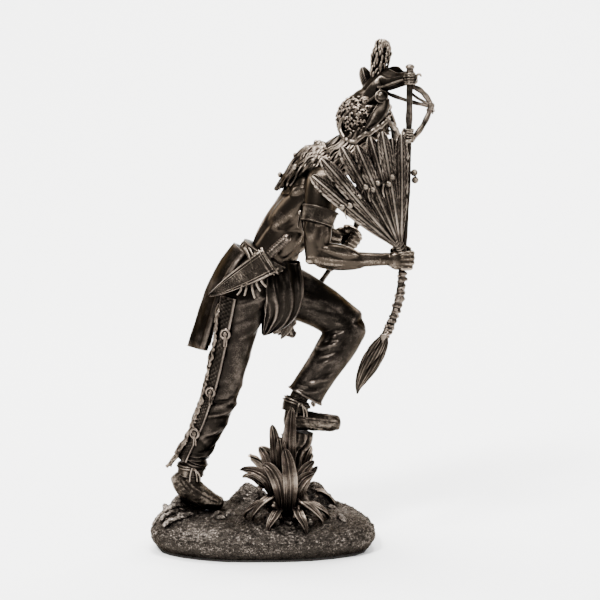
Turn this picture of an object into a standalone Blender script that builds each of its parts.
"""Bronze statuette of a hunter stepping up onto a plant-covered stump, as an assembly of its castings.

Lengths are millimetres until MM turns them to metres. +Z is up, the figure faces +X and its right
side is at -Y. The origin is the middle of the felt pad's underside. Pieces are made in order, and
each one is cut clear of the pieces made before it, so pins leave their own holes.
"""

import math

import bmesh
import bpy
from mathutils import Matrix, Vector

MM = 0.001
GAP = 0.36  # clearance between pieces that touch
SIDES = 12  # facets round a limb
STEP = 0.02  # how far along a path its heading is taken
SHARP = math.radians(40)  # edges sharper than this stay crisp
WELD = 2e-6  # metres between points that are one
FLAT_END = 0.02  # dome of a limb that ends almost flat

# Driving dimensions of the whole object.
BASE_LENGTH = 140.5
BASE_WIDTH = 93.0
PAD_THICKNESS = 1.5
RIM_HEIGHT = 10.0
GROUND_HEIGHT = 22.0
POLE_RADIUS = 2.0
PIN_RADIUS = 1.5
THICK_PIN_RADIUS = 2.0
KNIFE_GRIP_RADIUS = 2.6
LASHING_RADIUS = 3.7
WRAPPING_RADIUS = 3.2
HOOP_RADIUS = 1.5
HANDLE_RADIUS = 1.9
STRIP_THICKNESS = 2.4
MANTLE_THICKNESS = 4.0
VANE_WIDTH = 4.3  # half-width of a fan feather
FEATHER_THICKNESS = 1.2

# Landmarks of the figure.
PELVIS = (-5, 0, 172)
WAIST = (8, 0, 191)
CHEST = (24, 0, 218)
NECK = (47, 0, 248)
RIGHT_SHOULDER = (37, -27, 231)
RIGHT_ELBOW = (33, -35, 190)
RIGHT_WRIST = (76, -33, 188)
LEFT_SHOULDER = (38, 27, 231)
LEFT_ELBOW = (28, 35, 199)
LEFT_WRIST = (47, 34, 194)
FAN_ROOT = (84, -36.5, 194)

# Finishes: colour, metallic, roughness.
FINISHES = {
    "skin": ((0.115, 0.080, 0.058), 1.0, 0.38),
    "cloth": ((0.090, 0.066, 0.050), 1.0, 0.46),
    "hair": ((0.070, 0.052, 0.040), 1.0, 0.50),
    "feather": ((0.105, 0.080, 0.062), 1.0, 0.45),
    "wood": ((0.085, 0.062, 0.048), 1.0, 0.48),
    "ground": ((0.060, 0.050, 0.043), 1.0, 0.60),
    "leaf": ((0.095, 0.075, 0.060), 1.0, 0.46),
    "steel": ((0.420, 0.420, 0.430), 1.0, 0.30),
    "felt": ((0.012, 0.012, 0.012), 0.0, 0.95),
}


def clear_scene():
    for obj in list(bpy.data.objects):
        bpy.data.objects.remove(obj, do_unlink=True)
    for name in ("Statuette", "Cutters"):
        bpy.context.scene.collection.children.link(bpy.data.collections.new(name))


# ---------------------------------------------------------------- shapes


def spline(rows, t):
    """The values at t, 0 to 1, on the smooth curve through the rows."""
    place = min(max(t, 0.0), 1.0) * (len(rows) - 1)
    i = min(int(place), len(rows) - 2)
    f = place - i
    last = len(rows) - 1
    near = (rows[max(i - 1, 0)], rows[i], rows[i + 1], rows[min(i + 2, last)])
    values = []
    for a, b, c, d in zip(*near):
        bend = (2 * a - 5 * b + 4 * c - d) * f**2 + (3 * b - a - 3 * c + d) * f**3
        values.append(0.5 * (2 * b + (c - a) * f + bend))
    return values


def frame_at(rows, t, across):
    """Place, sideways and outward directions, heading and the remaining values at t along the rows."""
    here = spline(rows, t)
    ahead = Vector(spline(rows, t + STEP)[:3])
    behind = Vector(spline(rows, t - STEP)[:3])
    heading = (ahead - behind).normalized()
    across = Vector(across)
    side = (across - across.dot(heading) * heading).normalized()
    return Vector(here[:3]), side, heading.cross(side), heading, here[3:]


def finished(bm):
    """The mesh of a closed bmesh, in metres and triangles, with its faces outwards."""
    bmesh.ops.scale(bm, vec=(MM, MM, MM), verts=bm.verts)
    bmesh.ops.recalc_face_normals(bm, faces=bm.faces)
    bmesh.ops.triangulate(bm, faces=bm.faces, quad_method="FIXED")
    mesh = bpy.data.meshes.new("piece")
    bm.to_mesh(mesh)
    bm.free()
    return mesh


def ring(bm, matrix, sides):
    """The edges of a new circle of radius 1, placed by the matrix."""
    verts = bmesh.ops.create_circle(bm, segments=sides, radius=1.0, matrix=matrix)["verts"]
    return list({edge for vert in verts for edge in vert.link_edges})


def joined_rings(matrices, sides):
    """A closed skin over circles that the matrices place, one after the other."""
    bm = bmesh.new()
    loops = [ring(bm, matrix, sides) for matrix in matrices]
    for near, far in zip(loops, loops[1:]):
        bmesh.ops.bridge_loops(bm, edges=near + far)
    for loop in (loops[0], loops[-1]):
        bmesh.ops.contextual_create(bm, geom=loop)
    return bm


def limb(rows, steps=8, dome=(0.35, 0.35)):
    """A rounded bar. A row is x, y, z, half-width across and half-depth; its ends are domed."""

    def build(grow):
        def placed(t, shrink=1.0, shift=0.0):
            centre, side, front, heading, (width, depth) = frame_at(rows, t, (0, 1, 0))
            columns = (side * (width + grow) * shrink, front * (depth + grow) * shrink, heading)
            matrix = Matrix(columns).transposed().to_4x4()
            matrix.translation = centre + heading * (shift * depth + math.copysign(grow, shift))
            return matrix

        matrices = [placed(0.0, 0.55, -dome[0]), placed(0.0, 0.86, -0.6 * dome[0])]
        matrices += [placed(i / steps) for i in range(1, steps)]
        matrices += [placed(1.0, 0.86, 0.6 * dome[1]), placed(1.0, 0.55, dome[1])]
        return finished(joined_rings(matrices, SIDES))

    return build


def shell(inner, outer, strips, steps):
    """A closed plate between two surfaces, each a function of two values from 0 to 1."""
    bm = bmesh.new()
    for surface in (inner, outer):
        made = bmesh.ops.create_grid(bm, x_segments=strips, y_segments=steps, size=1.0)
        for vert in made["verts"]:
            vert.co = surface((vert.co.x + 1) / 2, (vert.co.y + 1) / 2)
    rims = [edge for edge in bm.edges if edge.is_boundary]
    bmesh.ops.bridge_loops(bm, edges=rims)
    return finished(bm)


def blade(rows, facing, camber=0.2, strips=4, steps=8):
    """A long thin plate. A row is x, y, z, half-width and thickness; its front looks along facing."""
    facing = Vector(facing)

    def build(grow):
        def surface(sign):
            def at(u, v):
                across = Vector(spline(rows, v + STEP)[:3]) - Vector(spline(rows, v - STEP)[:3])
                across = across.cross(facing)
                centre, side, _, heading, (width, thick) = frame_at(rows, v, across)
                normal = side.cross(heading)
                x = 2 * u - 1
                rise = camber * width * (1 - x * x)
                half = thick * (0.5 - 0.2 * x * x) + grow
                end = (2 * v - 1) * grow if v in (0.0, 1.0) else 0.0
                return centre + side * x * (width + grow) + normal * (rise + sign * half) + heading * end

            return at

        return shell(surface(-1), surface(1), strips, steps)

    return build


def skin_patch(rows, along, angles, lift, strips=4, steps=8):
    """A plate that lies on a limb: spans of the way along it and round it, and of its lift."""

    def build(grow):
        def surface(out):
            def at(u, v):
                t = along[0] + (along[1] - along[0]) * v
                angle = math.radians(angles[0] + (angles[1] - angles[0]) * u)
                centre, side, front, _, (width, depth) = frame_at(rows, t, (0, 1, 0))
                return (
                    centre
                    + side * (width + out) * math.cos(angle)
                    + front * (depth + out) * math.sin(angle)
                )

            return at

        return shell(surface(lift[0] - grow), surface(lift[1] + grow), strips, steps)

    return build


def rod(points, radius, steps=12):
    """A round bar along the smooth curve through the points."""

    def build(grow):
        curve = bpy.data.curves.new("rod", "CURVE")
        curve.dimensions = "3D"
        curve.bevel_depth = (radius + grow) * MM
        curve.bevel_resolution = 2
        curve.use_fill_caps = True
        path = [Vector(spline(points, i / steps)) for i in range(steps + 1)]
        path[0] += (path[0] - path[1]).normalized() * grow
        path[-1] += (path[-1] - path[-2]).normalized() * grow
        line = curve.splines.new("POLY")
        line.points.add(steps)
        for point, place in zip(line.points, path):
            point.co = (*(place * MM), 1.0)
        guide = bpy.data.objects.new("rod", curve)
        bpy.context.scene.collection.objects.link(guide)
        mesh = mesh_of(guide)
        bpy.data.objects.remove(guide)
        bm = bmesh.new()
        bm.from_mesh(mesh)
        bmesh.ops.remove_doubles(bm, verts=bm.verts, dist=WELD)
        bmesh.ops.recalc_face_normals(bm, faces=bm.faces)
        bm.to_mesh(mesh)
        bm.free()
        return mesh

    return build


def ball(centre, radii, segments=12, turn=0.0):
    """An ellipsoid, pitched about Y by turn degrees."""

    def build(grow):
        size = Matrix.Diagonal([r + grow for r in radii]).to_4x4()
        place = Matrix.Translation(centre) @ Matrix.Rotation(math.radians(turn), 4, "Y") @ size
        bm = bmesh.new()
        rows = segments // 2 + 1
        bmesh.ops.create_uvsphere(bm, u_segments=segments, v_segments=rows, radius=1.0, matrix=place)
        return finished(bm)

    return build


def pin(centre, heading, length, radius=PIN_RADIUS):
    """A round steel pin, centred on a point."""

    def build(grow):
        turn = Vector((0, 0, 1)).rotation_difference(Vector(heading)).to_matrix().to_4x4()
        bm = bmesh.new()
        bmesh.ops.create_cone(
            bm,
            cap_ends=True,
            segments=SIDES,
            radius1=radius + grow,
            radius2=radius + grow,
            depth=length + 2 * grow,
            matrix=Matrix.Translation(centre) @ turn,
        )
        return finished(bm)

    return build


# ---------------------------------------------------------------- ground


def base_edge(angle, reach=1.0):
    """A point on the uneven oval outline of the base, in plan."""
    lumps = 1 + 0.020 * math.cos(3 * angle + 1.4) + 0.014 * math.cos(5 * angle + 1.9)
    lumps += 0.006 * math.sin(9 * angle)
    square = (abs(math.cos(angle)) ** 2.6 + abs(math.sin(angle)) ** 2.6) ** (-1 / 2.6)
    size = reach * lumps * square
    return Vector((BASE_LENGTH / 2 * size * math.cos(angle), BASE_WIDTH / 2 * size * math.sin(angle), 0))


def slab(levels, sides):
    """A solid over outlines of the base, each level a height and a reach."""

    def build(grow):
        bm = bmesh.new()
        loops = []
        for height, reach in levels:
            verts = bmesh.ops.create_circle(bm, segments=sides, radius=1.0)["verts"]
            for i, vert in enumerate(verts):
                place = base_edge(math.tau * i / sides, reach)
                lump = 0.0 if height <= RIM_HEIGHT else 0.8 * math.sin(0.17 * place.x + 0.21 * place.y)
                place *= 1 + grow / place.length
                vert.co = place + Vector((0, 0, height + lump))
            loops.append(list({edge for vert in verts for edge in vert.link_edges}))
        for loop, shift in ((loops[0], -grow), (loops[-1], grow)):
            for vert in {vert for edge in loop for vert in edge.verts}:
                vert.co.z += shift
        for near, far in zip(loops, loops[1:]):
            bmesh.ops.bridge_loops(bm, edges=near + far)
        for loop in (loops[0], loops[-1]):
            bmesh.ops.contextual_create(bm, geom=loop)
        if grow:
            for vert in bm.verts:
                if vert.co.z > RIM_HEIGHT:
                    vert.co.z += grow
        return finished(bm)

    return build


# ---------------------------------------------------------------- assembly


def mesh_of(obj):
    """A new mesh of the object as it is evaluated, with its place applied."""
    graph = bpy.context.evaluated_depsgraph_get()
    mesh = bpy.data.meshes.new_from_object(obj.evaluated_get(graph))
    mesh.transform(obj.matrix_world)
    return mesh


def box_of(mesh):
    """The mesh's lowest and highest corners."""
    places = [vert.co for vert in mesh.vertices]
    low = [min(place[i] for place in places) for i in range(3)]
    high = [max(place[i] for place in places) for i in range(3)]
    return low, high


def boxes_meet(first, second):
    return all(first[0][i] <= second[1][i] and second[0][i] <= first[1][i] for i in range(3))


def keep_largest(mesh):
    """Leaves only the largest of the mesh's separate bodies."""
    bm = bmesh.new()
    bm.from_mesh(mesh)
    bmesh.ops.remove_doubles(bm, verts=bm.verts, dist=WELD)
    islands = []
    left = set(bm.verts)
    while left:
        island = {left.pop()}
        edge_of_it = list(island)
        while edge_of_it:
            vert = edge_of_it.pop()
            for edge in vert.link_edges:
                other = edge.other_vert(vert)
                if other in left:
                    left.discard(other)
                    island.add(other)
                    edge_of_it.append(other)
        islands.append(island)
    islands.sort(key=span, reverse=True)
    for island in islands[1:]:
        bmesh.ops.delete(bm, geom=list(island), context="VERTS")
    bm.to_mesh(mesh)
    bm.free()


def span(verts):
    """The sum of the sides of the box round the points."""
    places = [vert.co for vert in verts]
    return sum(max(p[i] for p in places) - min(p[i] for p in places) for i in range(3))


def combined(mesh, others, operation):
    """The mesh after Boolean steps with the other meshes, which stay as hidden cutters."""
    piece = bpy.data.objects.new("worked", mesh)
    bpy.context.scene.collection.objects.link(piece)
    for name, other in others:
        cutter = bpy.data.objects.new(name, other)
        bpy.data.collections["Cutters"].objects.link(cutter)
        cutter.hide_render = True
        cutter.display_type = "WIRE"
        step = piece.modifiers.new(name, "BOOLEAN")
        step.operation = operation
        step.solver = "EXACT"
        step.object = cutter
    split = piece.modifiers.new("triangles", "TRIANGULATE")
    split.quad_method = "FIXED"
    result = mesh_of(piece)
    bpy.data.objects.remove(piece)
    return result


def finish_material(name, finish):
    """A metal or felt surface for one piece."""
    colour, metallic, roughness = FINISHES[finish]
    material = bpy.data.materials.new(name)
    material.use_nodes = True
    surface = material.node_tree.nodes["Principled BSDF"]
    surface.inputs["Base Color"].default_value = (*colour, 1.0)
    surface.inputs["Metallic"].default_value = metallic
    surface.inputs["Roughness"].default_value = roughness
    return material


MADE = []  # name, box and builder of every piece so far


def union(*builders):
    """One body from several overlapping shapes."""

    def build(grow):
        meshes = [builder(grow) for builder in builders]
        others = [("joined_shape", mesh) for mesh in meshes[1:]]
        return combined(meshes[0], others, "UNION")

    return build


def add(name, finish, builder):
    """Makes a piece, cut clear of the earlier ones."""
    mesh = builder(0.0)
    box = box_of(mesh)
    cutters = []
    for other, other_box, other_builder in MADE:
        if boxes_meet(box, other_box):
            cutters.append((f"{other}_clearance", other_builder(GAP)))
    if cutters:
        mesh = combined(mesh, cutters, "DIFFERENCE")
        keep_largest(mesh)
    mesh.name = name
    mesh.shade_smooth()
    mesh.set_sharp_from_angle(angle=SHARP)
    mesh.materials.clear()
    mesh.materials.append(finish_material(f"{name}_{finish}", finish))
    piece = bpy.data.objects.new(name, mesh)
    bpy.data.collections["Statuette"].objects.link(piece)
    low, high = box
    margin = GAP * MM
    grown = ([v - margin for v in low], [v + margin for v in high])
    MADE.append((name, grown, builder))


def pins():
    """Steel pins that hold the castings together, inside them."""
    add("right_foot_pin", "steel", pin((-36, 2, 20), (0, 0, 1), 16))
    add("stump_pin", "steel", pin((18, 2, 22), (0, 0, 1), 24, THICK_PIN_RADIUS))
    add("left_foot_pin", "steel", pin((20, 2, 73), (0, 0, 1), 14))
    add("waist_pin", "steel", pin((6, 0, 188.5), (0.5, 0, 0.86), 22, THICK_PIN_RADIUS))
    add("neck_pin", "steel", pin((49, 0, 250), (0.7, 0, 0.7), 18, THICK_PIN_RADIUS))


def ground():
    """The rocky base, its felt pad and the stump that the figure steps on."""
    low = PAD_THICKNESS + GAP
    add("felt_pad", "felt", slab([(0, 0.93), (PAD_THICKNESS, 0.93)], 40))
    levels = [
        (low, 0.955),
        (RIM_HEIGHT * 0.45, 0.985),
        (RIM_HEIGHT, 1.0),
        (RIM_HEIGHT + 4, 0.96),
        (GROUND_HEIGHT - 4, 0.84),
        (GROUND_HEIGHT - 1, 0.60),
        (GROUND_HEIGHT, 0.26),
    ]
    mound_left = ball((-7, 15, 20), (9, 8, 12))
    mound_right = ball((29, 17, 20), (12, 9, 14))
    toe_rock = ball((-58, 6, 14), (9, 12, 7))
    add("base_rock", "ground", union(slab(levels, 40), mound_left, mound_right, toe_rock))
    trunk = [
        (18, 2, 19, 16, 15),
        (18, 2, 30, 12, 12),
        (18, 3, 44, 8.5, 8),
        (20, 3, 58, 7, 7),
        (21, 3, 68, 7, 9),
        (22, 3, 72, 7, 9),
    ]
    add("stump", "ground", limb(trunk, steps=8, dome=(0.2, FLAT_END)))


# Each leaf: root, middle and tip, half-width, and the way its face looks.
LEAVES = (
    ((15, -13, 22), (17, -17, 56), (18, -11, 92), 4.2, (0, -1, 0.2)),
    ((9, -11, 22), (8, -15, 55), (6.5, -9, 81), 3.8, (-0.3, -1, 0.2)),
    ((3, -8, 22), (3, -13, 46), (-1, -6, 65), 3.6, (-0.6, -0.8, 0.2)),
    ((1, -14, 21), (-3, -20, 43), (-12, -13, 52), 3.6, (-0.5, -0.7, 0.6)),
    ((25, -11, 22), (27, -15, 42), (31, -9, 57), 3.6, (0.6, -0.8, 0.2)),
    ((22, -18, 20), (24, -23, 38), (31, -18, 51), 3.8, (0.4, -0.9, 0.3)),
    ((10, -20, 20), (8, -25, 42), (2, -20, 58), 4.4, (-0.2, -1, 0.2)),
)


def leaves():
    """The long blades that grow round the stump."""
    for number, (root, middle, tip, width, facing) in enumerate(LEAVES, 1):
        rows = [(*root, 0.7 * width, 2.4), (*middle, width, 2.0), (*tip, 0.5, 0.9)]
        add(f"leaf_{number}", "leaf", blade(rows, facing, camber=0.35, strips=2, steps=7))


# ---------------------------------------------------------------- figure

RIGHT_LEG = [
    (-10, -13, 170, 13, 15),
    (-12, -13, 158, 13.5, 15),
    (-17, -12, 137, 12, 12.5),
    (-24.5, -9, 110, 10, 11),
    (-29.5, -6, 94, 10, 10.5),
    (-36, -3, 77, 9, 9.5),
    (-43.5, 1, 60, 8.5, 9),
    (-45.5, 2, 54, 8.5, 9),
]
LEFT_THIGH = [
    (2, 13, 166, 13, 15),
    (15, 14, 162, 14, 16.5),
    (34, 14, 153, 13.5, 14.5),
    (47.5, 14, 144, 12.5, 13),
    (54.5, 13, 139, 11.5, 12.5),
]
LEFT_SHIN = [
    (55, 13, 140, 11.5, 12),
    (48, 11, 128, 12, 12.5),
    (38, 8, 113, 10.5, 11.5),
    (30, 6, 101, 9.5, 11),
    (26.5, 5, 95, 10, 11.5),
]
TORSO = [
    (4, 0, 184, 17, 14.5),
    (*WAIST, 17, 15.5),
    (15, 0, 204, 19, 16),
    (*CHEST, 24, 17),
    (34, 0, 234, 26, 16),
    (42, 0, 243, 19, 13),
    (*NECK, 11, 10),
]
RIGHT_UPPER_ARM = [
    (38, -23, 235, 9, 11),
    (*RIGHT_SHOULDER, 12, 12),
    (34, -33, 214, 9.5, 9.5),
    (33, -35, 202, 8, 8.5),
    (*RIGHT_ELBOW, 7, 7.5),
]
RIGHT_FOREARM = [
    (34, -35, 190, 7, 7),
    (43, -35, 188.5, 7.5, 7.5),
    (58, -34.5, 187.5, 6, 5.6),
    (*RIGHT_WRIST, 4.6, 4.2),
]
LEFT_UPPER_ARM = [
    (39, 23, 235, 9, 11),
    (*LEFT_SHOULDER, 12, 12),
    (33, 33, 216, 9, 9.5),
    (*LEFT_ELBOW, 7, 7.5),
]
LEFT_FOREARM = [
    (*LEFT_ELBOW, 7, 7),
    (36, 35.5, 197, 7.2, 7.2),
    (*LEFT_WRIST, 4.8, 4.6),
]


def feet_and_legs():
    """Moccasins and the leggings over them, with their side strips."""
    right_shoe = [
        (-53.5, 2, 44, 5, 6.5),
        (-49, 2, 37, 6.5, 8),
        (-41, 2, 31, 7.3, 7.5),
        (-33, 3, 26.5, 7, 5.4),
        (-27.5, 3, 25.5, 5.6, 3.8),
    ]
    right_shaft = [(-46, 2, 39, 6, 6.5), (-45.5, 2, 51, 5.5, 5.8), (-44, 1, 58, 5.3, 5.5)]
    add("right_moccasin", "cloth", union(limb(right_shoe), limb(right_shaft, steps=4)))
    left_shoe = [
        (15, 2, 81, 5, 6.4),
        (22, 2, 80.5, 6.6, 7),
        (31, 2, 79.5, 7, 6),
        (41.5, 2, 78, 7, 4.6),
        (48, 2, 77.7, 5.5, 3.8),
    ]
    left_shaft = [(20, 3, 82, 6, 7.5), (22, 3.5, 91, 5.8, 7), (25, 4.5, 98, 5.6, 6.5)]
    add("left_moccasin", "cloth", union(limb(left_shoe), limb(left_shaft, steps=4)))
    hips = [
        (-8, 0, 159, 13, 11),
        (*PELVIS, 21, 17),
        (-1, 0, 181, 19, 16),
        (3, 0, 188, 17.5, 15),
    ]
    add("hips", "cloth", limb(hips, steps=6, dome=(0.35, FLAT_END)))
    add("right_legging", "cloth", limb(RIGHT_LEG, steps=11, dome=(0.3, FLAT_END)))
    left = union(limb(LEFT_THIGH, steps=6), limb(LEFT_SHIN, steps=6, dome=(0.5, FLAT_END)))
    add("left_legging", "cloth", left)
    right_strip = skin_patch(RIGHT_LEG, (0.14, 0.99), (192, 236), (GAP, STRIP_THICKNESS), 3, 14)
    add("right_legging_strip", "cloth", right_strip)
    left_strip = skin_patch(LEFT_SHIN, (0.2, 0.98), (-26, 26), (GAP, STRIP_THICKNESS), 3, 8)
    add("left_legging_strip", "cloth", left_strip)


def clothing():
    """The belt, the breechcloth's two flaps and the sheathed knife."""
    belt = [(0.5, 0, 181.5, 20.5, 18.5), (4, 0, 187, 19.5, 17.5)]
    add("belt", "cloth", limb(belt, steps=2, dome=(FLAT_END, FLAT_END)))
    back = [
        (-14, 0, 185, 13, 2.6),
        (-22, 0, 175, 15, 2.8),
        (-29, 0, 162, 16, 2.8),
        (-33, 0, 146, 16, 2.6),
        (-37, 0, 134, 14, 2.4),
        (-38.5, 0, 127.5, 8, 2.0),
    ]
    add("breechcloth_back", "cloth", blade(back, (-1, 0, 0.25), camber=0.42, strips=6, steps=10))
    front = [
        (14, -11, 178, 13, 4.0),
        (13, -15, 166, 13, 4.0),
        (9, -14, 152, 10, 3.6),
        (2, -10, 138, 6, 3.0),
        (-5, -8, 126, 1.6, 2.0),
    ]
    add("breechcloth_front", "cloth", blade(front, (0.35, -1, 0), camber=0.2, strips=4, steps=10))
    sheath = [(2, -27, 184, 8, 4.5), (-13, -27.5, 175, 6, 4.2), (-30, -26, 165.5, 1.4, 2.6)]
    add("knife_sheath", "cloth", blade(sheath, (0, -1, 0), camber=0.1, strips=4, steps=6))
    add("knife_handle", "wood", rod([(1.5, -27, 187), (8, -26.5, 193), (14, -26, 199)], KNIFE_GRIP_RADIUS, 3))


def torso_and_arms():
    """The trunk, the arms with their bands, and the fists."""
    add("torso", "skin", limb(TORSO, steps=10, dome=(FLAT_END, 0.1)))
    right = union(limb(RIGHT_UPPER_ARM, steps=7), limb(RIGHT_FOREARM, steps=7, dome=(0.6, FLAT_END)))
    add("right_arm", "skin", right)
    left = union(limb(LEFT_UPPER_ARM, steps=6), limb(LEFT_FOREARM, steps=6, dome=(0.6, FLAT_END)))
    add("left_arm", "skin", left)
    right_band = [(34.6, -32, 217.5, 12, 12), (33.6, -34, 209, 11, 11)]
    add("right_armband", "cloth", limb(right_band, steps=2, dome=(FLAT_END, FLAT_END)))
    left_band = [(33.4, 32.5, 218, 11.5, 12), (31.5, 34, 210, 10.5, 11)]
    add("left_armband", "cloth", limb(left_band, steps=2, dome=(FLAT_END, FLAT_END)))


def fists():
    """Hands closed round the pole and the tomahawk."""
    right = [(77.5, -33, 188, 5, 4.6), (82, -33, 187, 6.5, 7.2), (90.5, -33, 186.5, 5.5, 7)]
    add("right_hand", "skin", limb(right, steps=5, dome=(FLAT_END, 0.3)))
    left = [(48.5, 34, 194, 5, 5), (52, 34, 193, 6.2, 7), (58.5, 33.5, 191, 5.5, 6.8)]
    add("left_hand", "skin", limb(left, steps=5, dome=(FLAT_END, 0.3)))


def head_and_headdress():
    """The head, the fur hood over it and what the hood carries."""
    head = [
        (47, 0, 248, 9, 9),
        (54, 0, 256, 8.5, 9),
        (64, 0, 265, 9.5, 12),
        (69, 0, 274, 11, 14),
        (70, 0, 282, 11, 13),
        (69, 0, 289, 8, 9),
    ]
    add("head", "skin", limb(head, steps=10, dome=(FLAT_END, 0.3)))
    add("fur_hood", "hair", ball((65, 0, 272.5), (15, 15, 13.5), 14, -35))
    mantle = skin_patch(TORSO, (0.55, 0.97), (12, 168), (GAP + 0.1, MANTLE_THICKNESS), 10, 6)
    add("hair_mantle", "hair", mantle)
    visor = [
        (60, -2, 281, 9, 2.4),
        (65, -3, 290, 11, 2.6),
        (72, -5, 296, 11, 2.6),
        (80, -12, 296, 9, 2.6),
        (87.5, -21, 295.5, 4, 2.4),
    ]
    add("visor_flap", "cloth", blade(visor, (-0.5, -0.25, 0.85), camber=0.25, strips=6, steps=10))
    plume = [(74, 0, 300, 3, 3.5), (75, 0, 307, 4, 6.4), (75.5, 0, 314, 3.5, 5.6), (75.5, 0, 319.5, 2, 2.8)]
    add("plume", "feather", limb(plume, steps=6))
    rear = [(69.5, 7, 290, 2, 1.6), (67, 7, 299, 3.6, 1.6), (64, 7, 307, 2, 1.2)]
    add("rear_feather", "feather", blade(rear, (-0.2, -1, 0), camber=0.15, strips=2, steps=5))
    for side, y in (("right", -14.5), ("left", 14.5)):
        add(f"{side}_temple_disc", "cloth", ball((70, y, 285), (3.6, 2.2, 3.6), 10))


def pole_and_hoop():
    """The staff, its wrapping and lashings, the bent hoop and the hair tassel."""
    staff = [(89.5, -30, 302), (89, -31, 262), (88, -33, 224), (86, -33, 188), (83, -32, 162), (79, -31, 148)]
    add("pole", "wood", rod(staff, POLE_RADIUS, 16))
    add("top_lashing", "cloth", rod([(89.5, -30, 299), (89.4, -30, 294)], LASHING_RADIUS, 1))
    add("middle_lashing", "cloth", rod([(89.2, -31, 266), (88.9, -31, 258)], LASHING_RADIUS, 1))
    wrapping = [(85.2, -33, 177), (83, -32, 162), (79.3, -31, 149)]
    add("pole_wrapping", "cloth", rod(wrapping, WRAPPING_RADIUS, 6))
    bow = [(90, -28, 291.5), (97, -27, 288), (102.5, -26, 279.5), (98, -27, 268), (91.5, -28.5, 259)]
    add("hoop", "wood", rod(bow, HOOP_RADIUS, 12))
    add("hoop_brace", "wood", rod([(100.5, -25, 280), (92, -23, 282), (80, -14, 286)], HOOP_RADIUS, 4))
    tuft = [
        (78, -31, 146.5, 3, 3),
        (74, -30, 135, 3.4, 4),
        (67.5, -30, 124, 5, 6),
        (61.5, -30, 113, 3.6, 4.2),
        (59, -30, 104.5, 1.2, 1.4),
    ]
    add("hair_tassel", "hair", limb(tuft, steps=8))


def tomahawk():
    """The weapon in the left fist, held down past the far side of the thigh."""
    handle = [(60, 34, 202), (55, 34, 191), (42, 34.5, 172), (28, 35, 152), (17, 35, 137)]
    add("tomahawk_handle", "wood", rod(handle, HANDLE_RADIUS, 6))
    head = [(23, 35, 143, 3, 4.6), (17, 35, 137, 5, 4.2), (11, 35, 131, 5.5, 2.4), (6, 35, 127, 3, 1.4)]
    add("tomahawk_head", "cloth", blade(head, (0, -1, 0), camber=0.05, strips=4, steps=6))


# The fan's feather tips, from the lowest round to the pole.
FEATHER_TIPS = (
    (30, -45, 240),
    (36, -44.5, 250),
    (48, -43, 256),
    (57, -41.5, 257),
    (65, -40.5, 262),
    (72, -39.5, 265),
    (78, -38.5, 261),
    (83.5, -37.5, 263),
)


def feather_fan():
    """Flat feathers that spread from the right fist, laid in two layers."""
    root = Vector(FAN_ROOT)
    for number, tip in enumerate(FEATHER_TIPS, 1):
        layer = Vector((0, -1.7 * (number % 2), 0))
        way = Vector(tip) - root
        sections = ((0.13, 1.4), (0.32, 3.4), (0.55, VANE_WIDTH), (0.85, VANE_WIDTH), (1.0, 0.8))
        rows = [(*(root + way * part + layer), width, FEATHER_THICKNESS) for part, width in sections]
        add(f"fan_feather_{number}", "feather", blade(rows, (0, -1, 0), camber=0.08, strips=2, steps=8))


def main():
    clear_scene()
    pins()
    ground()
    feet_and_legs()
    leaves()
    torso_and_arms()
    pole_and_hoop()
    tomahawk()
    fists()
    clothing()
    head_and_headdress()
    feather_fan()


main()
